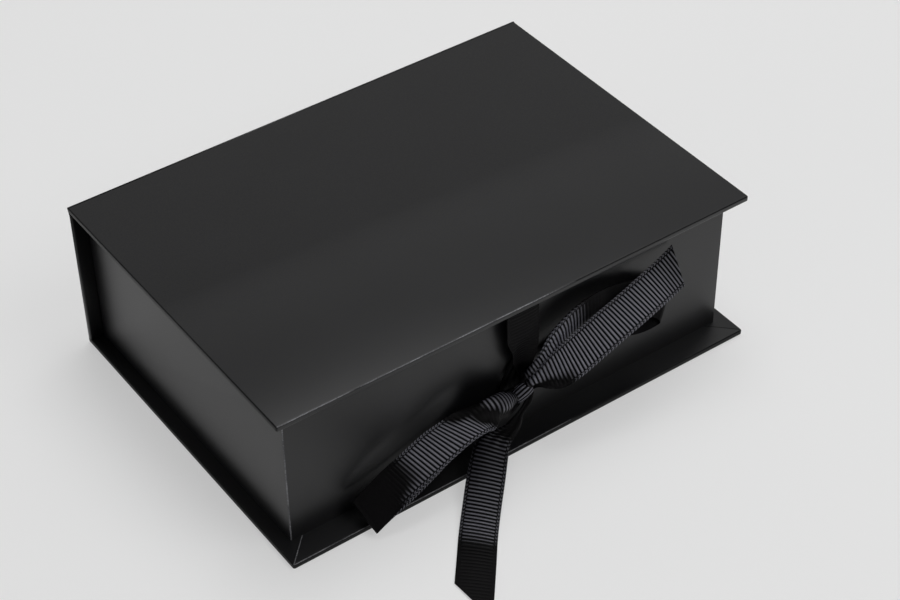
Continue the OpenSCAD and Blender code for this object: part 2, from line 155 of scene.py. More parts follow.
def wrapping_paper(name, dark, light, roughness, gloss):
    """Matt black dyed paper: a soft blurred sheen, a fine felt grain and a faint cloudiness in the dye."""
    material, tree, shader = new_material(name, {
        "Roughness": roughness, "IOR": 1.5, "Specular IOR Level": gloss})
    place = add(tree, "ShaderNodeTexCoord").outputs["Object"]
    cloud = add(tree, "ShaderNodeTexNoise", {
        "Scale": per_mm(34), "Detail": 3.0, "Roughness": 0.5}, Vector=place).outputs["Fac"]
    fibre = add(tree, "ShaderNodeTexNoise", {
        "Scale": per_mm(0.55), "Detail": 4.0, "Roughness": 0.6}, Vector=place).outputs["Fac"]
    tone = add(tree, "ShaderNodeValToRGB", {"stops": ((0.3, dark), (0.7, light))}, i0=cloud)
    tree.links.new(tone.outputs["Color"], shader.inputs["Base Color"])
    sheen = add(tree, "ShaderNodeMapRange", {
        "From Min": 0.3, "From Max": 0.7, "To Min": roughness - 0.04, "To Max": roughness + 0.05},
        Value=fibre)
    tree.links.new(sheen.outputs["Result"], shader.inputs["Roughness"])
    wave = add(tree, "ShaderNodeBump", {"Strength": 0.25, "Distance": 0.05 * MM}, Height=cloud)
    grain = add(tree, "ShaderNodeBump", {"Strength": 0.35, "Distance": 0.02 * MM}, Height=fibre,
                Normal=wave.outputs["Normal"])
    tree.links.new(grain.outputs["Normal"], shader.inputs["Normal"])
    return material


def worn_fold_with_highlight():
    """Paper worn along a sharp fold, partly real and partly a painted highlight: the dyed face has cracked
    here and there, and the paler core shows, pale enough to paint the highlight along the fold as well. The
    worn marks and the painted highlight are on the left half and die out a little to the right of the ribbon."""
    material, tree, shader = new_material("wrapping_paper_worn_and_highlit_at_fold", {
        "Roughness": 0.55, "IOR": 1.5, "Specular IOR Level": 0.15})
    place = add(tree, "ShaderNodeTexCoord").outputs["Object"]
    patch = add(tree, "ShaderNodeTexNoise", {"Scale": per_mm(9), "Detail": 3.0}, Vector=place).outputs["Fac"]
    crack = add(tree, "ShaderNodeTexNoise", {
        "Scale": per_mm(0.7), "Detail": 3.0, "Roughness": 0.7}, Vector=place).outputs["Fac"]
    both = add(tree, "ShaderNodeMath", {"operation": "MULTIPLY"}, i0=patch, i1=crack).outputs[0]
    side = add(tree, "ShaderNodeSeparateXYZ", i0=place)
    fade = add(tree, "ShaderNodeMapRange", {
        "From Min": 8 * MM, "From Max": 32 * MM, "To Min": 1.0, "To Max": 0.1}, Value=side.outputs["X"])
    worn_and_highlight = add(tree, "ShaderNodeMath", {"operation": "MULTIPLY"}, i0=both, i1=fade.outputs["Result"])
    # Pale where worn: this tone also paints the highlight along the fold
    tone = add(tree, "ShaderNodeValToRGB", {"stops": ((0.1, "#070708"), (0.4, "#98989c"))},
               i0=worn_and_highlight.outputs[0])
    tree.links.new(tone.outputs["Color"], shader.inputs["Base Color"])
    rough = add(tree, "ShaderNodeBump", {"Strength": 0.5, "Distance": 0.04 * MM}, Height=crack)
    tree.links.new(rough.outputs["Normal"], shader.inputs["Normal"])
    return material


def grey_board():
    """Grey board of pressed waste paper: dull, with light and dark flecks."""
    material, tree, shader = new_material("grey_board", {"Roughness": 0.9, "IOR": 1.45})
    place = add(tree, "ShaderNodeTexCoord").outputs["Object"]
    fleck = add(tree, "ShaderNodeTexNoise", {
        "Scale": per_mm(0.9), "Detail": 6.0, "Roughness": 0.7}, Vector=place).outputs["Fac"]
    tone = add(tree, "ShaderNodeValToRGB", {"stops": ((0.3, "#77736c"), (0.7, "#a8a49b"))}, i0=fleck)
    tree.links.new(tone.outputs["Color"], shader.inputs["Base Color"])
    rough = add(tree, "ShaderNodeBump", {"Strength": 0.5, "Distance": 0.04 * MM}, Height=fleck)
    tree.links.new(rough.outputs["Normal"], shader.inputs["Normal"])
    return material


def paper_tape():
    """Gummed kraft tape: brown, with faint fibres along it."""
    material, tree, shader = new_material("gummed_kraft_tape", {"Roughness": 0.75, "IOR": 1.45})
    place = add(tree, "ShaderNodeTexCoord").outputs["Object"]
    along = add(tree, "ShaderNodeMapping", {"Scale": (1, 1, 0.15)}, Vector=place)
    fibre = add(tree, "ShaderNodeTexNoise", {"Scale": per_mm(0.4), "Detail": 4.0},
                Vector=along.outputs["Vector"]).outputs["Fac"]
    tone = add(tree, "ShaderNodeValToRGB", {"stops": ((0.3, "#a98f66"), (0.7, "#c9b48d"))}, i0=fibre)
    tree.links.new(tone.outputs["Color"], shader.inputs["Base Color"])
    return material


RIB_PITCH = 1.6  # one weft cord of the grosgrain
WARP_PITCH = 0.34  # fine warp threads over the cords, drawn a little coarse so that they show


def grosgrain():
    """Black polyester grosgrain: thick weft cords with a satin gleam on their tops, crossed by fine warp
    threads. Its colour paints a highlight on the cords' tops and shade in their near-black valleys. The mesh
    gives the height of its weave in "cord", how clear the weave is in "clear", which is 0 where the ribbon
    lies hidden in the dark and there paints it near-black as shade, and the map "weave" in metres."""
    material, tree, shader = new_material("polyester_grosgrain", {"Roughness": 0.42, "IOR": 1.5})
    cord = add(tree, "ShaderNodeAttribute", {"attribute_name": "cord"}).outputs["Fac"]
    clear = add(tree, "ShaderNodeAttribute", {"attribute_name": "clear"}).outputs["Fac"]
    # Painted highlight on the cords' tops and painted shade in their valleys
    lit = add(tree, "ShaderNodeValToRGB", {"stops": ((0.56, "#040405"), (1, "#74747f"))}, i0=cord)
    # Painted shade: near-black where the weave is at 0, then dark grey
    shade_where_tucked = add(tree, "ShaderNodeValToRGB", {"stops": ((0, "#020203"), (0.1, "#131213"))}, i0=clear)
    tone = add(tree, "ShaderNodeMix", {"data_type": "RGBA"}, i0=clear, i6=shade_where_tucked.outputs["Color"],
               i7=lit.outputs["Color"])
    tree.links.new(tone.outputs[2], shader.inputs["Base Color"])
    gleam = add(tree, "ShaderNodeMapRange", {
        "From Min": 0.5, "From Max": 0.95, "To Min": 0.05, "To Max": 0.7}, Value=cord)
    tree.links.new(gleam.outputs["Result"], shader.inputs["Specular IOR Level"])
    weave = add(tree, "ShaderNodeUVMap", {"uv_map": "weave"}).outputs["UV"]
    parts = add(tree, "ShaderNodeSeparateXYZ", i0=weave)
    warp_turns = add(tree, "ShaderNodeMath", {"operation": "MULTIPLY", 1: 2 * math.pi / (WARP_PITCH * MM)},
                     i0=parts.outputs["Y"])
    warp = add(tree, "ShaderNodeMath", {"operation": "SINE"}, i0=warp_turns.outputs[0])
    place = add(tree, "ShaderNodeTexCoord").outputs["Object"]
    fuzz = add(tree, "ShaderNodeTexNoise", {"Scale": per_mm(0.5), "Detail": 3.0}, Vector=place)
    height = add(tree, "ShaderNodeMath", {"operation": "MULTIPLY_ADD", 1: 0.5}, i0=warp.outputs[0],
                 i2=fuzz.outputs["Fac"])
    bump = add(tree, "ShaderNodeBump", {"Strength": 0.4, "Distance": 0.04 * MM}, Height=height.outputs[0])
    tree.links.new(bump.outputs["Normal"], shader.inputs["Normal"])
    return material


PAPER_BLACK = wrapping_paper("matt_black_wrapping_paper", "#0e0e10", "#121214", 0.38, 0.52)
# For the boards' edges, a duller copy of the wrapping paper with less gloss and a darker tone; the darker
# tone is painted shade along the edges
EDGE_BLACK_PAINTED_SHADE = wrapping_paper("matt_black_wrapping_paper_shaded_at_edges", "#0a0a0b", "#0d0d0e", 0.5, 0.2)
LINING_BLACK = wrapping_paper("matt_black_lining_paper", "#131315", "#18181a", 0.55, 0.5)
WORN_FOLD_AND_HIGHLIGHT = worn_fold_with_highlight()
GREY_BOARD = grey_board()
TAPE = paper_tape()
GROSGRAIN = grosgrain()


# ---------- Helpers for modelling ----------

def select_only(piece):
    bpy.ops.object.select_all(action="DESELECT")
    piece.select_set(True)
    bpy.context.view_layer.objects.active = piece


def block(name, low, high):
    """A block between two corners, given in millimetres, left selected."""
    low, high = np.array(low, float), np.array(high, float)
    bpy.ops.object.select_all(action="DESELECT")
    bpy.ops.mesh.primitive_cube_add(size=1, location=Vector((low + high) / 2 * MM))
    piece = bpy.context.object
    piece.name = piece.data.name = name
    piece.scale = (high - low) * MM
    bpy.ops.object.transform_apply(location=True, rotation=True, scale=True)
    return piece


def pick(piece, kind, test):
    """Selects only the faces or edges that pass the test, and leaves the piece in edit mode. The test is
    given the middle of each, in millimetres, and a face's normal or an edge's direction."""
    bpy.ops.object.mode_set(mode="EDIT")
    bpy.ops.mesh.select_mode(type=kind)
    bpy.ops.mesh.select_all(action="DESELECT")
    bpy.ops.object.mode_set(mode="OBJECT")
    mesh = piece.data
    if kind == "FACE":
        for face in mesh.polygons:
            face.select = bool(test(np.array(face.center) / MM, np.array(face.normal)))
    else:
        for edge in mesh.edges:
            a, b = (np.array(mesh.vertices[i].co) / MM for i in edge.vertices)
            edge.select = bool(test((a + b) / 2, (b - a) / max(np.linalg.norm(b - a), 1e-9)))
    bpy.ops.object.mode_set(mode="EDIT")


def near(a, b):
    """Whether two measures in millimetres are the same, but for rounding."""
    return abs(a - b) < 0.02


def round_edges(piece, radius, segments, test):
    """Rounds the edges that pass the test."""
    pick(piece, "EDGE", test)
    bpy.ops.mesh.bevel(offset=radius * MM, segments=segments, affect="EDGES")


def crease_faces(piece, test, *planes):
    """Cuts the faces that pass the test along planes, each a place in millimetres and a normal."""
    for place, normal in planes:
        pick(piece, "FACE", test)
        bpy.ops.mesh.bisect(plane_co=Vector(place) * MM, plane_no=normal)


def open_faces(piece, test):
    """Deletes the faces that pass the test."""
    pick(piece, "FACE", test)
    bpy.ops.mesh.delete(type="FACE")


def done(piece):
    """Leaves edit mode and shades the piece smooth, with sharp edges kept."""
    bpy.ops.object.mode_set(mode="OBJECT")
    select_only(piece)
    bpy.ops.object.shade_smooth_by_angle(angle=math.radians(35))


def thicken(piece, thickness):
    """Gives an open paper shell its thickness, inwards from the outer face."""
    select_only(piece)
    solid = piece.modifiers.new("paper", "SOLIDIFY")
    solid.thickness = thickness * MM
    solid.offset = -1
    solid.use_even_offset = True
    bpy.ops.object.modifier_apply(modifier="paper")


def paint(piece, material):
    piece.data.materials.clear()
    piece.data.materials.append(material)


def paint_faces(piece, material, test):
    """Gives a second material to the faces whose middle, in millimetres, and normal pass the test."""
    piece.data.materials.append(material)
    slot = len(piece.data.materials) - 1
    for face in piece.data.polygons:
        if test(np.array(face.center) / MM, np.array(face.normal)):
            face.material_index = slot


def hand_over(piece, body, slot, *nodes):
    """The piece rides on a body and stands for these nodes. The slot is not used."""
    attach(piece, body)
    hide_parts(*nodes)


# ---------- Paper over the lid ----------

def margin_lines(low, high):
    """Planes at the inner edges of the turned-in margins: right, left and front."""
    return (((high[0] - TURN_IN, 0, 0), (1, 0, 0)), ((low[0] + TURN_IN, 0, 0), (1, 0, 0)),
            ((0, low[1] + TURN_IN, 0), (0, 1, 0)))


def mitre(piece, low, high, test):
    """Cuts a narrow seam from each front corner inwards, where the turned-in margins meet."""
    along_edge = 1.41 * SEAM / 2  # half the seam's width, taken along the board's edge
    reach = TURN_IN + 3  # a little past the margins
    for side in (-1, 1):
        for shift in (-along_edge, along_edge):
            corner = (side * (high[0] + shift), low[1], 0)
            crease_faces(piece, lambda m, n: test(m, n) and side * m[0] > high[0] - reach and
                         m[1] < low[1] + reach, (corner, (1, side, 0)))


def on_mitre(m, low, high):
    """Whether a place lies in a seam between the margins."""
    return abs((high[0] - abs(m[0])) - (m[1] - low[1])) < SEAM * 0.75 and m[1] - low[1] < TURN_IN + 1


def on_front_fold(m, n, low):
    """Whether a face lies on the upper round of the front edge."""
    return m[1] < low[1] + 0.5 and 0.6 < n[2] < 0.97 and n[1] < -0.1


def lid_paper():
    """Wrapping over the lid: top, three edges and the turned-in margin below, back to the crease."""
    low, high = LID_LOW, LID_HIGH

    def underside(m, n):
        return n[2] < -0.99 and near(m[2], low[2])

    piece = block("lid_paper", low, high)
    round_edges(piece, COVER_CORNER, 6, lambda m, d: abs(d[2]) > 0.9 and near(m[1], low[1]))
    round_edges(piece, EDGE_ROUND, 5, lambda m, d: abs(d[2]) < 0.1 and not near(m[1], high[1]))
    crease_faces(piece, underside, *margin_lines(low, high))
    open_faces(piece, lambda m, n: n[1] > 0.9 and near(m[1], high[1]) or
               n[2] < -0.99 and abs(m[0]) < high[0] - TURN_IN and m[1] > low[1] + TURN_IN)
    mitre(piece, low, high, underside)
    done(piece)
    thicken(piece, PAPER)
    paint(piece, PAPER_BLACK)
    # The side edges take the darker edge paper, painted shade along them
    paint_faces(piece, EDGE_BLACK_PAINTED_SHADE, lambda m, n: abs(m[0]) > high[0] - EDGE_ROUND and abs(n[2]) < 0.97)
    # The front fold and the mitres underneath take the worn paper, partly real marks and partly a painted
    # highlight
    paint_faces(piece, WORN_FOLD_AND_HIGHLIGHT, lambda m, n: on_front_fold(m, n, low) or
                on_mitre(m, low, high) and m[2] < low[2] + 0.1)
    hand_over(piece, "lid", "case_paper", "lid_wrap")


lid_paper()


# ---------- Paper over the base and the spine ----------

def cover_paper():
    """Wrapping under the base, round its edges, and up over the spine in one sheet."""
    low, high, top = BASE_LOW, BASE_HIGH, SPINE_HIGH[2]
    ledge, inner = high[2], SPINE_LOW[1]

    def ledge_top(m, n):
        return n[2] > 0.99 and near(m[2], ledge)

    def spine_face(m, n):
        return n[1] < -0.99 and near(m[1], inner)

    def outer_edge(m, d):
        """The base's edges, but for those that the spine carries on, and the spine's upright corners."""
        level = abs(d[2]) < 0.1 and (near(m[2], 0) or near(m[2], ledge))
        carried_on = near(m[1], inner) or near(m[0], 0) and near(m[2], ledge) and m[1] > 0
        return level and not carried_on or abs(d[2]) > 0.9 and m[1] > inner - 0.1

    piece = block("cover_paper", low, high)
    bpy.ops.object.mode_set(mode="EDIT")
    bpy.ops.mesh.select_all(action="SELECT")
    bpy.ops.mesh.bisect(plane_co=Vector((0, inner, 0)) * MM, plane_no=(0, 1, 0))
    pick(piece, "FACE", lambda m, n: n[2] > 0.9 and m[1] > inner)
    bpy.ops.mesh.extrude_region_move(TRANSFORM_OT_translate={"value": (0, 0, (top - ledge) * MM)})
    bpy.ops.mesh.select_all(action="SELECT")
    bpy.ops.mesh.remove_doubles(threshold=0.01 * MM)
    round_edges(piece, COVER_CORNER, 6, lambda m, d: abs(d[2]) > 0.9 and near(m[1], low[1]))
    round_edges(piece, EDGE_ROUND, 5, outer_edge)
    right, left, front = margin_lines(low, high)
    crease_faces(piece, lambda m, n: ledge_top(m, n) or spine_face(m, n), right, left)
    crease_faces(piece, ledge_top, front)
    open_faces(piece, lambda m, n: near(m[2], top) and n[2] > 0.9 or abs(m[0]) < high[0] - TURN_IN and
               (spine_face(m, n) or ledge_top(m, n) and m[1] > low[1] + TURN_IN))
    mitre(piece, low, high, ledge_top)
    done(piece)
    thicken(piece, PAPER)
    paint(piece, PAPER_BLACK)
    # The base's edges take the darker edge paper, painted shade along them
    paint_faces(piece, EDGE_BLACK_PAINTED_SHADE, lambda m, n: m[2] < ledge + 0.1 and abs(n[2]) < 0.97 and
                (m[1] < low[1] + EDGE_ROUND or abs(m[0]) > high[0] - EDGE_ROUND))
    # The front fold and the mitres on the ledge take the worn paper, partly real marks and partly a painted
    # highlight
    paint_faces(piece, WORN_FOLD_AND_HIGHLIGHT, lambda m, n: m[2] < ledge + 0.1 and
                (on_front_fold(m, n, low) or on_mitre(m, low, high) and m[2] > ledge - 0.3))
    hand_over(piece, "case", "case_paper", "base_wrap", "spine_wrap")


cover_paper()


# ---------- Paper at the crease, between spine and lid ----------

# Places in Y and Z along the crease, from inside the spine's top up to the lid
CREASE = [(78.45, 66.7), (78.6, 67.4), (78.85, 68.2), (79.1, 68.85), (79.34, 69.35), (79.46, 69.7),
          (79.36, 69.92), (79.1, 70), (78.4, 70)]


def crease_paper():
    """Strip of wrapping and lining glued together, which bends between the spine and the lid."""
    (y, z), width = CREASE[0], 2 * LID_HIGH[0] - 0.2
    bpy.ops.object.select_all(action="DESELECT")
    bpy.ops.mesh.primitive_plane_add(size=1, location=Vector((0, y + 0.5, z)) * MM)
    piece = bpy.context.object
    piece.name = piece.data.name = "crease_paper"
    piece.scale = Vector((width, 1, 1)) * MM
    bpy.ops.object.transform_apply(location=True, rotation=True, scale=True)
    # Only one edge of the plane is kept, and drawn out along the crease
    pick(piece, "EDGE", lambda m, d: near(m[1], y + 1))
    bpy.ops.mesh.delete(type="VERT")
    bpy.ops.mesh.select_all(action="SELECT")
    for (y0, z0), (y1, z1) in zip(CREASE, CREASE[1:]):
        step = (0, (y1 - y0) * MM, (z1 - z0) * MM)
        bpy.ops.mesh.extrude_region_move(TRANSFORM_OT_translate={"value": step})
    bpy.ops.mesh.select_all(action="SELECT")
    bpy.ops.mesh.normals_make_consistent(inside=False)
    done(piece)
    if piece.data.polygons[0].normal.y < 0:
        bpy.ops.object.mode_set(mode="EDIT")
        bpy.ops.mesh.flip_normals()
        done(piece)
    thicken(piece, 2 * PAPER)
    paint(piece, PAPER_BLACK)
    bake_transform(piece)
    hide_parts("hinge_strip")


crease_paper()


# ---------- Paper over the tray ----------

def carve(piece, low, high):
    """Cuts a block-shaped hole out of a piece."""
    tool = block("cutter", low, high)
    select_only(piece)
    cut = piece.modifiers.new("cut", "BOOLEAN")
    cut.operation = "DIFFERENCE"
    cut.solver = "EXACT"
    cut.object = tool
    bpy.ops.object.modifier_apply(modifier="cut")
    bpy.data.objects.remove(tool)


def tray_paper():
    """Wrapping round the tray's walls, over the rim and down inside."""
    low, high = TRAY_LOW, TRAY_HIGH
    inner_low, inner_high = low + TURN_IN, high - TURN_IN  # inner edges of the margins under the floor

    def underside(m, n):
        return n[2] < -0.99 and near(m[2], low[2])

    piece = block("tray_paper", low, high)
    round_edges(piece, TRAY_CORNER, 5, lambda m, d: abs(d[2]) > 0.9)
    round_edges(piece, RIM_ROUND, 4, lambda m, d: abs(d[2]) < 0.1 and near(m[2], high[2]))
    bpy.ops.object.mode_set(mode="OBJECT")
    carve(piece, (low[0] + RIM, low[1] + RIM, inner_high[2]), (high[0] - RIM, high[1] - RIM, high[2] + 5))
    open_faces(piece, lambda m, n: n[2] > 0.99 and near(m[2], inner_high[2]))
    crease_faces(piece, underside, ((inner_low[0], 0, 0), (-1, 0, 0)), ((inner_high[0], 0, 0), (1, 0, 0)),
                 ((0, inner_low[1], 0), (0, -1, 0)), ((0, inner_high[1], 0), (0, 1, 0)))
    open_faces(piece, lambda m, n: underside(m, n) and
               inner_low[0] < m[0] < inner_high[0] and inner_low[1] < m[1] < inner_high[1])
    done(piece)
    thicken(piece, PAPER)
    carve(piece, (SLOT_LEFT, low[1] - 1, SLOT_Z - SLOT_H / 2), (SLOT_RIGHT, low[1] + 4, SLOT_Z + SLOT_H / 2))
    paint(piece, PAPER_BLACK)
    # The front upright corners take the worn paper, partly real marks and partly a painted highlight
    paint_faces(piece, WORN_FOLD_AND_HIGHLIGHT, lambda m, n: m[1] < low[1] + TRAY_CORNER and
                abs(m[0]) > high[0] - TRAY_CORNER and 0.2 < abs(n[0]) < 0.98 and abs(n[2]) < 0.3)
    hand_over(piece, "case", "case_paper", "tray_wrap")


tray_paper()


# ---------- CAD pieces that keep their shape ----------

for node in ("base_board", "tray_floor_board", "tray_front_board", "tray_rear_board", "tray_left_board",
             "tray_right_board"):
    paint(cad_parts[node], GREY_BOARD)
# The crease bares the ends of these two boards' edges, which are covered in black as well, in the darker edge
# paper with its painted shade
for node in ("spine_board", "lid_board"):
    paint(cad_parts[node], EDGE_BLACK_PAINTED_SHADE)
for node in ("lid_liner", "spine_liner", "tray_wall_liner", "tray_floor_liner"):
    paint(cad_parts[node], LINING_BLACK)
paint(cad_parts["corner_stays"], TAPE)


# ---------- Ribbon ----------

def spline(points, at):
    """Smooth curve through the points, at the given places: 0 is the first point, 1 the second."""
    points = np.asarray(points, float)
    ends = np.concatenate([[2 * points[0] - points[1]], points, [2 * points[-1] - points[-2]]])
    i = np.clip(np.floor(at).astype(int), 0, len(points) - 2)
    t = (np.asarray(at) - i).reshape(-1, *[1] * (points.ndim - 1))
    a, b, c, d = (ends[i + k] for k in range(4))
    return (2 * b + (c - a) * t + (2 * a - 5 * b + 4 * c - d) * t**2 + (3 * b - a - 3 * c + d) * t**3) / 2


def unit(v):
    """The same directions, each 1 long."""
    return v / np.maximum(np.linalg.norm(v, axis=-1, keepdims=True), 1e-9)


# Sections of the ribbon, from one selvage to the other: place across it, and height off its middle.
# Each keeps about the ribbon's width of 15 mm along its folds, but for those squeezed together near the knot.
FLAT = [(-7.5, -0.3), (-5, -0.05), (-2.5, 0.1), (0, 0.15), (2.5, 0.1), (5, -0.05), (7.5, -0.3)]
SOFT = [(-6.9, -0.5), (-4.8, 0.4), (-2.3, 0.6), (0.2, 0.25), (2.5, -0.1), (4.8, -0.2), (7.0, 0)]
ROLLED = [(-5.4, -1.2), (-4.6, 0.8), (-2.5, 1.5), (0, 0.7), (2.0, -0.5), (4.2, -0.8), (7.0, -0.6)]
LENS = [(-4.4, -1.8), (-4.5, 0.4), (-2.8, 1.9), (-0.4, 2.3), (1.9, 1.5), (3.3, -0.7), (5.0, -2.2)]
TIP = [(-5.0, -1.2), (-4.8, 0.3), (-3.0, 1.1), (-0.8, 1.3), (1.2, 0.2), (3.6, -1.2), (6.0, -1.6)]
SLIT = [(-3.0, -1.8), (-3.1, 0.2), (-1.9, 1.7), (0.1, 1.6), (1.2, -0.2), (2.2, -1.7), (3.8, -2.0)]
BUNCH = [(-1.9, -1.4), (-2.2, 0.2), (-1.3, 1.3), (0.1, 1.0), (0.7, -0.4), (1.5, -1.2), (2.2, -0.6)]
FAN = [(-5.6, -0.4), (-4.0, 0.5), (-2.0, 0), (0.2, 0.5), (2.3, -0.1), (4.2, 0.4), (5.8, -0.2)]
GATHER = [(-4.8, -0.4), (-3.4, 0.5), (-1.7, 0), (0.2, 0.5), (1.9, -0.1), (3.4, 0.4), (4.8, -0.2)]
NECK = [(-1.3, -0.6), (-1.1, 0.4), (-0.6, 0.5), (0, 0.1), (0.6, 0.4), (1.1, 0.3), (1.3, -0.6)]
TONGUE = [(-3.2, -0.4), (-2.4, 0.3), (-1.3, 0.1), (0, 0), (1.2, 0.3), (2.3, 0.7), (3.2, -0.3)]
CUP = [(-6.2, 1.1), (-4.8, 0.5), (-2.6, -0.4), (0.1, -0.9), (2.7, -0.5), (4.7, 0.2), (6.2, 0.9)]
HOLLOW = [(-5.6, 0.8), (-4.8, 0.3), (-2.8, -1.0), (0, -1.7), (2.6, -1.2), (4.6, 0.1), (5.3, 0.7)]
FOLDED = [(-3.6, 0.9), (-3.3, 0.1), (-2.0, -1.2), (0, -1.7), (1.9, -1.2), (3.1, 0), (3.2, 0.8)]
PINCHED = [(-1.9, 0.6), (-2.0, 0.1), (-1.4, -0.6), (0, -0.9), (1.3, -0.6), (1.9, 0), (1.8, 0.6)]

# How far the weave stands out at each point of a section, and so how much of the painted highlight and shade
# on the cords shows
TOP_CLEAR = [1, 1, 1, 0.9, 0.35, 0.15, 0.15]
LENS_CLEAR = [0.7, 0.8, 0.85, 0.85, 0.8, 0.15, 0.12]
SLIT_CLEAR = [0.6, 0.7, 0.7, 0.7, 0.6, 0.15, 0.12]


def bow(x, y, z, back=0):
    """A place from the knot's middle, moved back towards the tray along the camera's line of sight."""
    return KNOT + np.array([x, y, z]) + back * SIGHT


def table(x, y, z):
    """A place in front of the base, at a height over the table."""
    return np.array([x, BASE_LOW[1] - y, z])


# Stations of each route: place, direction across the ribbon, section and how far the weave stands out, which
# at 0 also paints the ribbon near-black as shade
LEFT_LOOP = [
    (bow(-3.0, -1.0, -3.0), (0.10, -0.71, -0.70), BUNCH, SLIT_CLEAR),
    (bow(-6.2, -1.9, -1.7), (0.05, -0.71, -0.70), SLIT, SLIT_CLEAR),
    (bow(-10.3, -2.7, -0.2, -0.7), (0.02, -0.71, -0.70), LENS, LENS_CLEAR),
    (bow(-14.5, -3.2, 0.8, -1.3), (0.02, -0.71, -0.70), LENS, LENS_CLEAR),
    (bow(-18.2, -3.5, 0.8, -1.6), (0.08, -0.72, -0.68), TIP, [0.2, 0.85, 0.9, 0.75, 0.15, 0.3, 0.7]),
    (bow(-22, -3.6, 0.8, -1.4), (0.25, -0.73, -0.62), ROLLED, [0.1, 0.5, 0.48, 0.1, 0.3, 0.8, 1]),
    (bow(-28, -3.9, 1.0, -1), (0.55, -0.73, -0.40), FLAT, [0.1, 0.3, 0.8, 1, 1, 1, 1]),
    (bow(-35, -4.1, 0.1, -0.5), (0.55, -0.75, -0.36), FLAT, 1),
    (bow(-44, -4.4, -2.4), (0.43, -0.79, -0.45), FLAT, 1),
    (bow(-53.5, -4.8, -6.3), (0.38, -0.79, -0.48), FLAT, 0.95),
    (bow(-64, -4.9, -11), (0.32, -0.79, -0.52), FLAT, [0.15, 0.15, 0.2, 0.25, 0.4, 0.7, 0.85]),
    (bow(-72, -4.7, -16), (0.25, -0.78, -0.57), FLAT, 0.15),
    (bow(-76.6, -4.2, -19.4), (0.20, -0.78, -0.60), FLAT, 0.3),
    (bow(-76.2, -3.1, -21.2), (0.20, -0.78, -0.60), FLAT, 0.5),
    (bow(-70, -1.9, -19.8), (0.22, -0.78, -0.58), FLAT, 1),
    (bow(-55, -0.4, -15.4), (0.25, -0.72, -0.65), FLAT, 1),
    (bow(-38, 1.4, -9.6), (0.28, -0.55, -0.79), SOFT, 1),
    (bow(-25, 2.0, -6), (0.32, 0.10, -0.94), FAN, 0.5),
    (bow(-15, 1.5, 0.6, 0.8), (0.34, 0.45, -0.83), SOFT, 0),
    (bow(-9, 1.4, 0.8, 1.2), (0.36, 0.55, -0.75), SOFT, 0),
    (bow(-3.5, 1.2, 0.2, 1), (0.36, 0.5, -0.79), GATHER, 0),
]
RIGHT_LOOP = [
    (bow(0.2, 0.6, 0.2), (0.10, -0.66, -0.74), BUNCH, 0.1),
    (bow(3.8, 1.2, 3.4), (0.10, -0.66, -0.74), BUNCH, 0.8),
    (bow(9.4, 0.4, 9.6), (0.40, -0.10, -0.91), TONGUE, 1),
    (bow(13.4, 0.2, 13.8), (0.38, 0.02, -0.92), FAN, 1),
    (bow(18.2, 0.4, 17.2), (0.34, 0.10, -0.94), SOFT, 1),
    (bow(27.6, 1.1, 21), (0.15, 0.10, -0.98), FLAT, 0.8),
    (bow(40.5, 1.3, 21.5), (0.02, 0.02, -1), FLAT, 0.06),
    (bow(54, 1.2, 17.6), (-0.14, -0.16, -0.97), FLAT, 0.06),
    (bow(65.8, 0.8, 11.2), (-0.42, -0.32, -0.85), FLAT, 0.05),
    (bow(70.6, 0.2, 7), (-0.62, -0.38, -0.69), FLAT, 0),
    (bow(69.8, 1.0, 4.4), (-0.62, -0.38, -0.69), FLAT, 0),
    (bow(59, 2.4, 4.8), (-0.40, -0.38, -0.83), FLAT, 0.1),
    (bow(42, 3.9, 8), (-0.14, -0.2, -0.97), SOFT, 1),
    (bow(22, 4.3, 7), (-0.05, -0.1, -0.99), FAN, 1),
    (bow(5, 2.5, 1.6), (0.10, -0.50, -0.86), BUNCH, 0.8),
]
UPPER_TAIL = [
    (bow(0.2, -1.0, -0.2), (0.10, -0.70, -0.70), BUNCH, 0.1),
    (bow(3.4, -2.2, 2.6), (0.10, -0.70, -0.70), BUNCH, TOP_CLEAR),
    (bow(7.8, -4.2, 4.5), (0.00, -0.70, -0.71), GATHER, TOP_CLEAR),
    (bow(12.6, -5.2, 6.2), (-0.02, -0.72, -0.69), SOFT, [1, 1, 1, 1, 0.8, 0.4, 0.3]),
    (bow(19.8, -5.6, 8.8), (0.06, -0.75, -0.66), FLAT, 1),
    (bow(27.8, -5.3, 11.5), (0.15, -0.77, -0.62), FLAT, 1),
    (bow(38.8, -5.3, 15.9), (0.27, -0.79, -0.55), FLAT, 1),
    (bow(48.6, -4.9, 19), (0.32, -0.79, -0.52), FLAT, 1),
    (bow(59.4, -3.9, 22), (0.27, -0.79, -0.55), FLAT, 1),
    (bow(69, -2.4, 24), (0.20, -0.78, -0.60), FLAT, 0.9),
    (bow(77.4, -0.8, 26.1), (0.13, -0.77, -0.62), FLAT, 0.8),
]
LOWER_TAIL = [
    (bow(2.2, -1.6, -1.6), (0.81, -0.58, -0.05), NECK, 0.3),
    (bow(-0.5, -3.5, -4.2), (0.81, -0.58, -0.05), NECK, 0.2),
    (bow(-4.8, -4.4, -7.2), (0.81, -0.58, -0.05), NECK, 0.2),
    (bow(-9.6, -5.6, -10.6), (0.78, -0.62, -0.06), TONGUE, [0.8, 0.6, 0.4, 0.3, 0.2, 0.1, 0.1]),
    (table(-18, 1.4, 14.6), (0.60, -0.80, -0.06), FAN, 0.75),
    (table(-22, 3.4, 12), (0.58, -0.81, -0.05), SOFT, 0.78),
    (table(-28.4, 9.2, 7.5), (0.62, -0.79, -0.02), FLAT, 0.82),
    (table(-37.1, 18, 2.8), (0.63, -0.78, 0), FLAT, 0.85),
    (table(-45.8, 27.6, 0.9), (0.66, -0.75, 0), FLAT, 0.8),
    (table(-54, 37.6, 0.7), (0.70, -0.71, 0), FLAT, 0.2),
    (table(-71, 58.2, 0.7), (0.74, -0.67, 0), FLAT, 0.15),
]
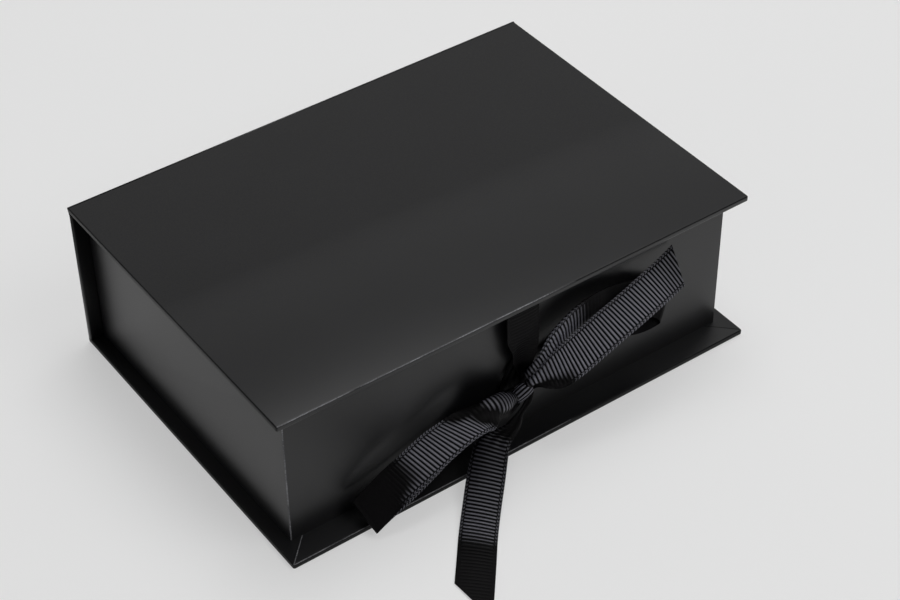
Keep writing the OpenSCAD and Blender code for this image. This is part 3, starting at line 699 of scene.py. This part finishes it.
# Near its lower end, where its weave is at 0, the lid's strap is painted near-black as shade
LID_STRAP = [
    ((0, -60, 67.85), (1, 0, 0), FLAT, 1),
    ((0, -66, 67.85), (1, 0, 0), FLAT, 1),
    ((0, -70.6, 67.85), (1, 0, 0), FLAT, 1),
    ((0, -72.2, 67.3), (1, 0, 0), FLAT, 0.5),
    ((0, -72.6, 65.5), (1, 0, 0), FLAT, 0.45),
    ((0.1, -72.6, 61), (1, 0, 0), FLAT, 0.4),
    ((0.2, -72.6, 56.5), (1, 0, 0), FLAT, 0.4),
    ((0.4, -72.5, 52.3), (1, 0, 0), FLAT, 0.45),
    ((0.9, -72.1, 46.7), (1, 0, 0), CUP, 0.45),
    ((1.2, -71.7, 40.4), (1, 0, 0), HOLLOW, [0, 0.1, 0.25, 0.3, 0.3, 0.3, 0.2]),
    ((1.6, -71.2, 35.6), (1, 0, 0), FOLDED, 0),
    ((2.0, -70.9, 30), (1, 0, 0), PINCHED, 0),
    ((1.9, -70.9, 27.4), (1, 0, 0), NECK, 0),
    ((1.5, -71.2, 24.6), (1, 0, 0), NECK, 0),
]
# Outside the tray, a little below the slot, where its weave is at 0, the tray's strap is painted near-black
# as shade
TRAY_STRAP = [
    ((0.6, -65.0, 36), (1, 0, 0), FLAT, 1),
    ((0.6, -65.0, 44), (1, 0, 0), FLAT, 1),
    ((1.0, -65.0, 49), (1, 0, 0), FLAT, 1),
    ((2.9, -65.0, 52.4), (1, 0, 0), GATHER, 1),
    ((3.2, -65.4, 53.6), (1, 0, 0), GATHER, 1),
    ((3.2, -66.6, 54.2), (1, 0, 0), GATHER, 1),
    ((3.2, -67.9, 53.7), (1, 0, 0), GATHER, 1),
    ((3.8, -68.5, 51.5), (1, 0, 0), GATHER, 0.5),
    ((4.2, -68.8, 47), (1, 0, 0), GATHER, 0.1),
    ((3.0, -68.9, 40), (1, 0, 0), GATHER, 0),
    ((-0.4, -68.8, 34.4), (1, 0, 0.2), FAN, 0),
    ((-2.9, -69.4, 30.2), (1, 0, 0.3), FAN, 0),
    ((-3.9, -71.6, 27.4), (1, 0, 0.2), GATHER, 0),
]

# Places of the mesh's columns, from the ribbon's middle out: close together at the selvage
HALF_COLUMNS = np.array([0, 1.0, 2.1, 3.2, 4.2, 5.2, 5.9, 6.1, 6.3, 6.5, 6.7, 6.9, 7.1, 7.3, 7.5])
COLUMNS = np.concatenate([-HALF_COLUMNS[:0:-1], HALF_COLUMNS])
ROWS_PER_RIB = 8
RIB_HEIGHT = 0.36
SELVAGE = 6.25  # from here out the weave is a narrow braided edge
BRAID_MIDDLE = 6.9  # where the two rows of slanting stitches meet


def weave_of(along, across):
    """Height of the weave, from 0 to 1: rounded cords, and a braided edge at each selvage, whose two rows
    of stitches slant towards each other. It sinks where the braid begins, between its rows and at the rim."""
    turn = math.pi * along / RIB_PITCH
    out = np.abs(across)
    cords = np.abs(np.sin(turn)) ** 0.8
    stitches = np.abs(np.sin(turn + 1.1 * math.pi * np.abs(out - BRAID_MIDDLE))) ** 0.6
    edge = np.clip((out - SELVAGE) / 0.2, 0, 1)
    beside_braid = 0.5 * np.exp(-((out - SELVAGE) / 0.15) ** 2)
    between_rows = 0.2 * np.exp(-((out - BRAID_MIDDLE) / 0.12) ** 2)
    rim = np.clip((RIBBON_W / 2 + 0.25 - out) / 0.35, 0, 1) ** 0.5
    return (cords * (1 - edge) + stitches * edge) * (1 - beside_braid - between_rows) * rim


def ribbon(name, route, outward=1, slant=0):
    """A length of grosgrain along the stations of a route, woven on both faces, as one closed mesh.
    Its far end is cut at a slant of so many millimetres from selvage to selvage."""
    places = np.array([s[0] for s in route], float)
    across = unit(np.array([s[1] for s in route], float))
    sections = np.array([s[2] for s in route], float)
    relief = np.array([np.broadcast_to(s[3], len(FLAT)) for s in route], float)
    along = unit(np.gradient(places, axis=0))
    up = outward * unit(np.cross(along, across))
    net = places[:, None] + sections[..., :1] * across[:, None] + sections[..., 1:] * up[:, None]
    net = np.concatenate([net, relief[..., None]], axis=2)
    share = (COLUMNS + RIBBON_W / 2) / RIBBON_W
    net = spline(net.transpose(1, 0, 2), share * (len(FLAT) - 1)).transpose(1, 0, 2)

    fine = np.linspace(0, len(route) - 1, 40 * len(route))
    middle = spline(net, fine)[..., :3].mean(axis=1)
    run = np.concatenate([[0], np.cumsum(np.linalg.norm(np.diff(middle, axis=0), axis=1))])
    end = run[-1] - abs(slant) * (0.5 - np.sign(slant) * COLUMNS / RIBBON_W)

    def points(distance):
        """The points of every column, and their relief, at distances along the ribbon."""
        columns = [spline(net[:, k], np.interp(distance[:, k], run, fine)) for k in range(len(COLUMNS))]
        return np.stack(columns, axis=1)

    step = RIB_PITCH / ROWS_PER_RIB
    rows = int(math.ceil(end.max() / step)) + 1
    row_at = np.arange(rows)[:, None] * step
    at = np.minimum(row_at, end[None, :])
    last = np.ceil(end / step).astype(int)
    sheet = points(at)
    square = points(np.broadcast_to(row_at, at.shape))[..., :3]  # before the end is cut
    normal = outward * unit(np.cross(np.gradient(square, axis=0), np.gradient(square, axis=1)))
    # How clear the weave is; at 0 the colour is also painted near-black, as shade
    clear = np.clip(sheet[..., 3], 0, 1)
    cord = weave_of(at, COLUMNS[None, :]) * clear
    half = (RIBBON_T / 2 - RIB_HEIGHT / 3 + RIB_HEIGHT * cord)[..., None]
    outer = sheet[..., :3] + normal * half
    inner = sheet[..., :3] - normal * half
    return closed_ribbon(name, outer, inner, at, last, cord, clear, outward)


def closed_ribbon(name, outer, inner, at, last, cord, clear, outward):
    """Closes the two faces of a ribbon into one mesh. Each column stops at its last row."""
    rows, columns = at.shape
    row = np.minimum(np.arange(rows)[:, None], last[None, :])
    index = row * columns + np.arange(columns)[None, :]
    quads = np.stack([index[:-1, :-1], index[1:, :-1], index[1:, 1:], index[:-1, 1:]], -1).reshape(-1, 4)
    faces = [[v for k, v in enumerate(quad) if v != quad[k - 1]] for quad in quads.tolist()]
    faces = [ring for ring in faces if len(ring) > 2]
    edges = {(a, b): True for ring in faces for a, b in zip(ring, ring[1:] + ring[:1])}
    border = [(a, b) for a, b in edges if (b, a) not in edges]
    shift = rows * columns
    faces += [[v + shift for v in reversed(ring)] for ring in faces]
    faces += [[b, a, a + shift, b + shift] for a, b in border]
    if outward < 0:
        faces = [ring[::-1] for ring in faces]
    used = sorted({v for ring in faces for v in ring})
    number = {v: k for k, v in enumerate(used)}
    faces = [[number[v] for v in ring] for ring in faces]
    place = np.concatenate([outer.reshape(-1, 3), inner.reshape(-1, 3)])[used]
    width = np.broadcast_to(COLUMNS, at.shape)
    spread = np.tile(np.stack([at.ravel(), width.ravel()], -1), (2, 1))[used]
    cord, clear = (np.tile(values.ravel(), 2)[used] for values in (cord, clear))
    return woven_piece(name, place, faces, cord, clear, spread)


def woven_piece(name, place, faces, cord, clear, spread):
    """A piece of grosgrain, with its places in millimetres, the height of its weave in "cord", how clear the
    weave is in "clear", which at 0 paints the ribbon near-black as shade, and the map "weave", which spreads
    it out along and across."""
    mesh = bpy.data.meshes.new(name)
    mesh.from_pydata((place * MM).tolist(), [], faces)
    piece = bpy.data.objects.new(name, mesh)
    scene.collection.objects.link(piece)
    for title, values in (("cord", cord), ("clear", clear)):
        layer = mesh.attributes.new(title, "FLOAT", "POINT")
        layer.data.foreach_set("value", values.astype(np.float32))
    corner = np.zeros(len(mesh.loops), int)
    mesh.loops.foreach_get("vertex_index", corner)
    layer = mesh.uv_layers.new(name="weave")
    layer.data.foreach_set("uv", (spread * MM)[corner].ravel())
    select_only(piece)
    bpy.ops.object.shade_smooth()
    paint(piece, GROSGRAIN)
    return piece


KNOT_TILT = 22
KNOT_RIBS = 13
KNOT_RADIUS = 3.1
# Along the knot's axis: place, radius and how far the cords stand out. Both ends are tucked in
KNOT_OUTLINE = [
    (-3.0, 1.2, 0.1), (-4.0, 1.7, 0.2), (-4.3, 2.2, 0.6), (-3.8, 2.6, 0.8), (-2.6, 2.9, 0.85),
    (-1.2, 3.05, 0.85), (0.2, KNOT_RADIUS, 0.85), (1.5, 3.0, 0.85), (2.7, 2.75, 0.85), (3.7, 2.4, 0.8),
    (4.2, 2.0, 0.6), (4.0, 1.6, 0.2), (3.0, 1.1, 0.1)]


def knot(middle):
    """The turn of ribbon round the bow's middle: a barrel whose cords run along it."""
    tilt = math.radians(KNOT_TILT)
    axis = np.array([math.cos(tilt), 0, math.sin(tilt)])
    side = np.array([-math.sin(tilt), 0, math.cos(tilt)])
    front = np.array([0, -1, 0])
    rows = KNOT_RIBS * ROWS_PER_RIB
    turn = (np.arange(rows) * 2 * math.pi / rows)[:, None]
    line = spline(KNOT_OUTLINE, np.linspace(0, len(KNOT_OUTLINE) - 1, 4 * len(KNOT_OUTLINE)))
    relief = np.clip(line[:, 2], 0, 1)
    cord = np.abs(np.sin(KNOT_RIBS * turn / 2)) ** 0.8 * relief
    waist = 1 + 0.05 * np.sin(turn * 2 + 0.7)  # a real turn of ribbon is not quite round
    radius = line[:, 1] * waist + RIB_HEIGHT * (cord - 0.5)
    along = line[:, 0] + 0.5 * np.sin(turn) * relief
    round_axis = np.cos(turn)[..., None] * side + np.sin(turn)[..., None] * front
    place = middle + along[..., None] * axis + radius[..., None] * round_axis
    index = np.arange(radius.size).reshape(radius.shape)
    following = np.roll(index, -1, axis=0)
    quads = np.stack([index[:, :-1], index[:, 1:], following[:, 1:], following[:, :-1]], -1)
    faces = quads.reshape(-1, 4).tolist() + [index[:, 0].tolist(), index[:, -1].tolist()[::-1]]
    spread = np.stack([np.broadcast_to(turn * KNOT_RADIUS, radius.shape), along], -1).reshape(-1, 2)
    piece = woven_piece("bow_knot_band", place.reshape(-1, 3), faces, cord.ravel(), np.ones(cord.size),
                        spread)
    bpy.ops.object.mode_set(mode="EDIT")
    bpy.ops.mesh.select_all(action="SELECT")
    bpy.ops.mesh.normals_make_consistent(inside=False)
    bpy.ops.object.mode_set(mode="OBJECT")
    return piece


def fit_ribbon(name, route, body, node, outward=1, slant=0):
    """Makes a length of ribbon that stands for a node. A slanting end takes half the slant off its mean
    length."""
    piece = ribbon(name, route, outward, slant)
    hand_over(piece, body, "grosgrain_ribbon", node)


band = knot(bow(-1.0, -0.4, -1.2))
hand_over(band, "case", "grosgrain_ribbon", "bow_knot")
fit_ribbon("bow_loop_left", LEFT_LOOP, "case", "bow_left_loop")
fit_ribbon("bow_loop_right", RIGHT_LOOP, "case", "bow_right_loop", outward=-1)
fit_ribbon("bow_tail_upper", UPPER_TAIL, "case", "bow_upper_tail",
           outward=-1, slant=-6)
fit_ribbon("bow_tail_lower", LOWER_TAIL, "case", "bow_lower_tail", slant=16)
fit_ribbon("strap_of_the_lid", LID_STRAP, "lid", "lid_ribbon")
fit_ribbon("strap_of_the_tray", TRAY_STRAP, "case", "tray_ribbon")


# ---------- Floor and light ----------

def make_stage():
    """Pale card: part of what the eye sees is its own even tone, and the rest is lit and takes the
    shadow."""
    bpy.ops.object.select_all(action="DESELECT")
    bpy.ops.mesh.primitive_plane_add(size=8, location=(0, 0, -0.05 * MM))
    floor = bpy.context.object
    floor.name = "floor"
    material, tree, shader = new_material("floor_card", {"Base Color": colour("#f3f3f3"), "Roughness": 0.9})
    rays = add(tree, "ShaderNodeLightPath")
    direct = add(tree, "ShaderNodeMath", {"operation": "MAXIMUM"}, i0=rays.outputs["Is Camera Ray"],
                 i1=rays.outputs["Is Glossy Ray"])
    seen = add(tree, "ShaderNodeMath", {"operation": "MAXIMUM"}, i0=direct.outputs[0],
               i1=rays.outputs["Is Transmission Ray"])
    share = add(tree, "ShaderNodeMath", {"operation": "MULTIPLY", 1: 0.5}, i0=seen.outputs[0])
    tone = add(tree, "ShaderNodeEmission", {"Color": colour("#f0f0f0")})
    both = add(tree, "ShaderNodeMixShader", i0=share.outputs[0], i1=shader.outputs["BSDF"],
               i2=tone.outputs["Emission"])
    tree.links.new(both.outputs["Shader"], tree.nodes["Material Output"].inputs["Surface"])
    floor.data.materials.append(material)


def area_light(name, place, aim, size, power):
    data = bpy.data.lights.new(name, "AREA")
    data.shape = "RECTANGLE"
    data.size, data.size_y = size
    data.energy = power
    light = bpy.data.objects.new(name, data)
    scene.collection.objects.link(light)
    light.location = place
    light.rotation_mode = "QUATERNION"
    light.rotation_quaternion = (Vector(aim) - Vector(place)).to_track_quat("-Z", "Y")


ROOM_LIGHT = 0.16
AIM = (0, 0, 0.03)
# Name, bearing and height in degrees, distance and size in metres, power in watts.
# One is nearly overhead, one in front, a wide one far behind that the lid mirrors, and a low one on the left
SOFTBOXES = [
    ("softbox_overhead", 45, 75, 1.8, (1.1, 1.1), 13),
    ("softbox_front", -62, 50, 1.8, (1.1, 1.1), 7.5),
    ("softbox_wide_back", 48, 23, 3.0, (4.5, 2.4), 7),
    ("softbox_low_left", 180, 18, 1.8, (1.1, 0.6), 2)]


def make_light():
    """An even pale room and the softboxes."""
    world = bpy.data.worlds.new("studio")
    scene.world = world
    world.use_nodes = True
    background = world.node_tree.nodes["Background"]
    background.inputs["Color"].default_value = colour("#ffffff")
    background.inputs["Strength"].default_value = ROOM_LIGHT
    for name, bearing, height, far, size, power in SOFTBOXES:
        bearing, height = math.radians(bearing), math.radians(height)
        direction = Vector((math.cos(height) * math.cos(bearing), math.cos(height) * math.sin(bearing),
                            math.sin(height)))
        area_light(name, far * direction, AIM, size, power)


make_stage()
make_light()
scene.view_settings.view_transform = "Standard"
